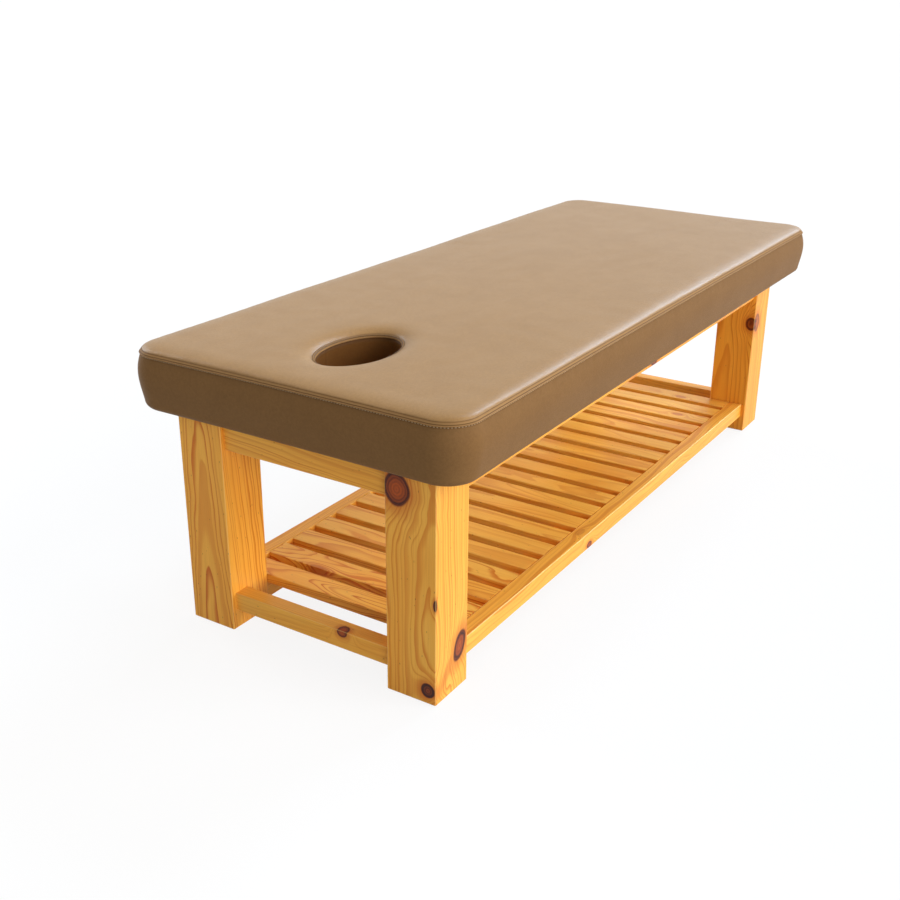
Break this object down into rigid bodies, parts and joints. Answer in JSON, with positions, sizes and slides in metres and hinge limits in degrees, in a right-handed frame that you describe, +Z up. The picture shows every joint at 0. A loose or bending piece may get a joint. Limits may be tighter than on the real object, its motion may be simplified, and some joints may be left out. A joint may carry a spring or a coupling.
{
  "type": "spa bed",
  "caption": "Padded treatment bed with an oval face hole, on a square-legged pine frame with a slatted lower shelf.",
  "frame": {"origin": "on the floor, under the middle of the pad", "axes": "+X along the bed towards the foot end, the face hole is at -X; +Y across the bed to its right side; +Z up"},
  "size_m": [1.8796, 0.7596, 0.6033],
  "materials": {
    "leg_pine": "clear varnished solid pine",
    "rail_pine": "clear varnished solid pine",
    "slat_pine": "clear varnished solid pine",
    "ledger_pine": "clear varnished solid pine",
    "plywood": "raw plywood",
    "foam": "open-cell foam",
    "vinyl_top": "satin upholstery vinyl with a fine grain",
    "vinyl_band": "satin upholstery vinyl with a fine grain",
    "vinyl_lining": "satin upholstery vinyl with a fine grain",
    "underside_cloth": "undyed nonwoven cloth",
    "screw_steel": "zinc plated"
  },
  "bodies": {
    "root": {"leg_head_left": "leg_pine", "leg_head_right": "leg_pine", "leg_foot_left": "leg_pine", "leg_foot_right": "leg_pine", "upper_rail_head": "rail_pine", "upper_rail_foot": "rail_pine", "upper_rail_left": "rail_pine", "upper_rail_right": "rail_pine", "stretcher_head": "rail_pine", "stretcher_foot": "rail_pine", "shelf_rail_left": "rail_pine", "shelf_rail_right": "rail_pine", "ledger_left": "ledger_pine", "ledger_right": "ledger_pine", "bearer_1": "ledger_pine", "bearer_2": "ledger_pine", "bearer_3": "ledger_pine", "slat_01": "slat_pine", "slat_02": "slat_pine", "slat_03": "slat_pine", "slat_04": "slat_pine", "slat_05": "slat_pine", "slat_06": "slat_pine", "slat_07": "slat_pine", "slat_08": "slat_pine", "slat_09": "slat_pine", "slat_10": "slat_pine", "slat_11": "slat_pine", "slat_12": "slat_pine", "slat_13": "slat_pine", "slat_14": "slat_pine", "slat_15": "slat_pine", "slat_16": "slat_pine", "slat_17": "slat_pine", "slat_18": "slat_pine", "slat_19": "slat_pine", "slat_20": "slat_pine", "slat_screws": "screw_steel", "ledger_screws": "screw_steel", "bearer_screws": "screw_steel", "top_board": "plywood", "foam_core": "foam", "cover_top": "vinyl_top", "cover_band": "vinyl_band", "face_sleeve": "vinyl_lining", "dust_cloth": "underside_cloth"}
  },
  "joints": []
}
